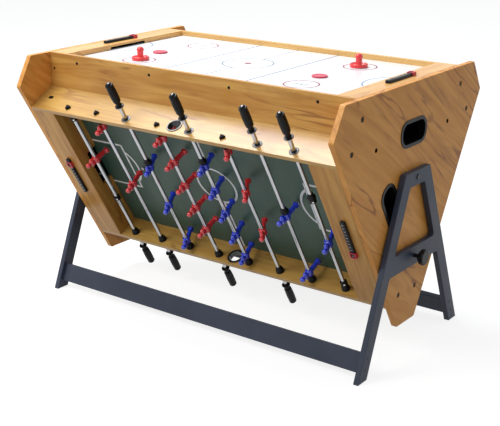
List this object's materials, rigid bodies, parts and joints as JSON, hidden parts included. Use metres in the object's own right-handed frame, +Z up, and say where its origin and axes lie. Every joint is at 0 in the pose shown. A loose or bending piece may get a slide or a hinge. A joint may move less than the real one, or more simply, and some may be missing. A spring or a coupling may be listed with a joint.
{
  "type": "multi game table",
  "caption": "Rotating three-sided game table: air hockey, foosball and pool faces on a prism cabinet that turns between two A-shaped leg frames.",
  "frame": {"origin": "on the floor, midway between the leg frames, under the cabinet's turning axis", "axes": "+Z up, +X along the table towards the right leg frame, -Y towards the player at the foosball face"},
  "size_m": [1.339, 0.8922, 0.8733],
  "materials": {
    "pine": "clear satin lacquer over honey-coloured grain",
    "slate_paint": "slate satin paint",
    "white_board": "glossy white laminate with drilled air holes",
    "green_board": "printed dark green board, satin",
    "clothed_board": "board under tight green cloth",
    "clothed_rubber": "rubber under tight green cloth",
    "black_plastic": "moulded, fine satin",
    "black_rubber": "matt",
    "dark_steel": "blackened steel",
    "bright_steel": "drawn steel",
    "chromed_rod": "chromed tube; its handle is black plastic",
    "red_plastic": "glossy moulding",
    "blue_plastic": "glossy moulding"
  },
  "bodies": {
    "stand": {"left_leg_frame": "slate_paint", "right_leg_frame": "slate_paint", "front_stretcher": "slate_paint", "rear_stretcher": "slate_paint", "pivot_bolts": "dark_steel"},
    "left_lock": {"left_lock_knob": "black_plastic"},
    "right_lock": {"right_lock_knob": "black_plastic"},
    "cabinet": {"left_end_panel": "pine", "right_end_panel": "pine", "panel_bolts": "dark_steel", "hockey_side_rails": "pine", "foosball_side_rails": "pine", "pool_side_rails": "pine", "hockey_end_rails": "pine", "foosball_end_rails": "pine", "pool_end_rails": "pine", "foosball_goal_walls": "pine", "hockey_playfield": "white_board", "foosball_playfield": "green_board", "pool_bed": "clothed_board", "pool_cushions": "clothed_rubber", "pool_pockets": "black_plastic", "return_trays": "black_plastic", "rod_bearings": "black_plastic", "rail_bumpers": "black_rubber", "ball_entries": "black_plastic", "score_bars": "black_plastic", "air_blower": "black_plastic"},
    "hockey_left_pointer": {"hockey_left_pointer": "red_plastic"},
    "hockey_right_pointer": {"hockey_right_pointer": "red_plastic"},
    "foosball_left_pointer": {"foosball_left_pointer": "red_plastic"},
    "foosball_right_pointer": {"foosball_right_pointer": "red_plastic"},
    "left_mallet": {"left_mallet": "red_plastic"},
    "right_mallet": {"right_mallet": "red_plastic"},
    "left_puck": {"left_puck": "red_plastic"},
    "right_puck": {"right_puck": "red_plastic"},
    "inner_rod_1": {"inner_rod_1": "bright_steel"},
    "rod_1": {"rod_1": "chromed_rod", "men_1": "red_plastic"},
    "inner_rod_2": {"inner_rod_2": "bright_steel"},
    "rod_2": {"rod_2": "chromed_rod", "men_2": "red_plastic"},
    "inner_rod_3": {"inner_rod_3": "bright_steel"},
    "rod_3": {"rod_3": "chromed_rod", "men_3": "blue_plastic"},
    "inner_rod_4": {"inner_rod_4": "bright_steel"},
    "rod_4": {"rod_4": "chromed_rod", "men_4": "red_plastic"},
    "inner_rod_5": {"inner_rod_5": "bright_steel"},
    "rod_5": {"rod_5": "chromed_rod", "men_5": "blue_plastic"},
    "inner_rod_6": {"inner_rod_6": "bright_steel"},
    "rod_6": {"rod_6": "chromed_rod", "men_6": "red_plastic"},
    "inner_rod_7": {"inner_rod_7": "bright_steel"},
    "rod_7": {"rod_7": "chromed_rod", "men_7": "blue_plastic"},
    "inner_rod_8": {"inner_rod_8": "bright_steel"},
    "rod_8": {"rod_8": "chromed_rod", "men_8": "blue_plastic"}
  },
  "joints": [
    {"name": "cabinet_flip", "type": "hinge", "parent": "stand", "child": "cabinet", "pos_m": [0, 0, 0.562], "axis": [1, 0, 0], "range_deg": [-120, 120]},
    {"name": "left_lock_slide", "type": "slide", "parent": "stand", "child": "left_lock", "axis": [1, 0, 0], "range_m": [0, 0.014]},
    {"name": "right_lock_slide", "type": "slide", "parent": "stand", "child": "right_lock", "axis": [-1, 0, 0], "range_m": [0, 0.014]},
    {"name": "hockey_left_pointer_slide", "type": "slide", "parent": "cabinet", "child": "hockey_left_pointer", "axis": [0, 1, 0], "range_m": [-0.133, 0]},
    {"name": "hockey_right_pointer_slide", "type": "slide", "parent": "cabinet", "child": "hockey_right_pointer", "axis": [0, 1, 0], "range_m": [-0.133, 0]},
    {"name": "foosball_left_pointer_slide", "type": "slide", "parent": "cabinet", "child": "foosball_left_pointer", "axis": [0, -0.5, 0.866], "range_m": [-0.1215, 0.0115]},
    {"name": "foosball_right_pointer_slide", "type": "slide", "parent": "cabinet", "child": "foosball_right_pointer", "axis": [0, -0.5, 0.866], "range_m": [-0.0045, 0.1285]},
    {"name": "left_mallet_glide", "type": "slide", "parent": "cabinet", "child": "left_mallet", "axis": [1, 0, 0], "range_m": [-0.172, 0.287]},
    {"name": "right_mallet_glide", "type": "slide", "parent": "cabinet", "child": "right_mallet", "axis": [1, 0, 0], "range_m": [-0.287, 0.172]},
    {"name": "left_puck_glide", "type": "slide", "parent": "cabinet", "child": "left_puck", "axis": [1, 0, 0], "range_m": [-0.144, 0.602]},
    {"name": "right_puck_glide", "type": "slide", "parent": "cabinet", "child": "right_puck", "axis": [1, 0, 0], "range_m": [-0.602, 0.191]},
    {"name": "rod_1_spin", "type": "hinge", "parent": "cabinet", "child": "inner_rod_1", "pos_m": [-0.441, -0.22517, 0.432], "axis": [0, -0.5, 0.866], "continuous": true},
    {"name": "rod_1_slide", "type": "slide", "parent": "inner_rod_1", "child": "rod_1", "axis": [0, 0.5, -0.866], "range_m": [0, 0.1494]},
    {"name": "rod_2_spin", "type": "hinge", "parent": "cabinet", "child": "inner_rod_2", "pos_m": [-0.315, -0.22517, 0.432], "axis": [0, -0.5, 0.866], "continuous": true},
    {"name": "rod_2_slide", "type": "slide", "parent": "inner_rod_2", "child": "rod_2", "axis": [0, 0.5, -0.866], "range_m": [0, 0.2414]},
    {"name": "rod_3_spin", "type": "hinge", "parent": "cabinet", "child": "inner_rod_3", "pos_m": [-0.189, -0.22517, 0.432], "axis": [0, -0.5, 0.866], "continuous": true},
    {"name": "rod_3_slide", "type": "slide", "parent": "inner_rod_3", "child": "rod_3", "axis": [0, -0.5, 0.866], "range_m": [0, 0.1524]},
    {"name": "rod_4_spin", "type": "hinge", "parent": "cabinet", "child": "inner_rod_4", "pos_m": [-0.063, -0.22517, 0.432], "axis": [0, -0.5, 0.866], "continuous": true},
    {"name": "rod_4_slide", "type": "slide", "parent": "inner_rod_4", "child": "rod_4", "axis": [0, 0.5, -0.866], "range_m": [0, 0.0924]},
    {"name": "rod_5_spin", "type": "hinge", "parent": "cabinet", "child": "inner_rod_5", "pos_m": [0.063, -0.22517, 0.432], "axis": [0, -0.5, 0.866], "continuous": true},
    {"name": "rod_5_slide", "type": "slide", "parent": "inner_rod_5", "child": "rod_5", "axis": [0, -0.5, 0.866], "range_m": [0, 0.0924]},
    {"name": "rod_6_spin", "type": "hinge", "parent": "cabinet", "child": "inner_rod_6", "pos_m": [0.189, -0.22517, 0.432], "axis": [0, -0.5, 0.866], "continuous": true},
    {"name": "rod_6_slide", "type": "slide", "parent": "inner_rod_6", "child": "rod_6", "axis": [0, 0.5, -0.866], "range_m": [0, 0.1524]},
    {"name": "rod_7_spin", "type": "hinge", "parent": "cabinet", "child": "inner_rod_7", "pos_m": [0.315, -0.22517, 0.432], "axis": [0, -0.5, 0.866], "continuous": true},
    {"name": "rod_7_slide", "type": "slide", "parent": "inner_rod_7", "child": "rod_7", "axis": [0, -0.5, 0.866], "range_m": [0, 0.2414]},
    {"name": "rod_8_spin", "type": "hinge", "parent": "cabinet", "child": "inner_rod_8", "pos_m": [0.441, -0.22517, 0.432], "axis": [0, -0.5, 0.866], "continuous": true},
    {"name": "rod_8_slide", "type": "slide", "parent": "inner_rod_8", "child": "rod_8", "axis": [0, -0.5, 0.866], "range_m": [0, 0.1494]}
  ]
}
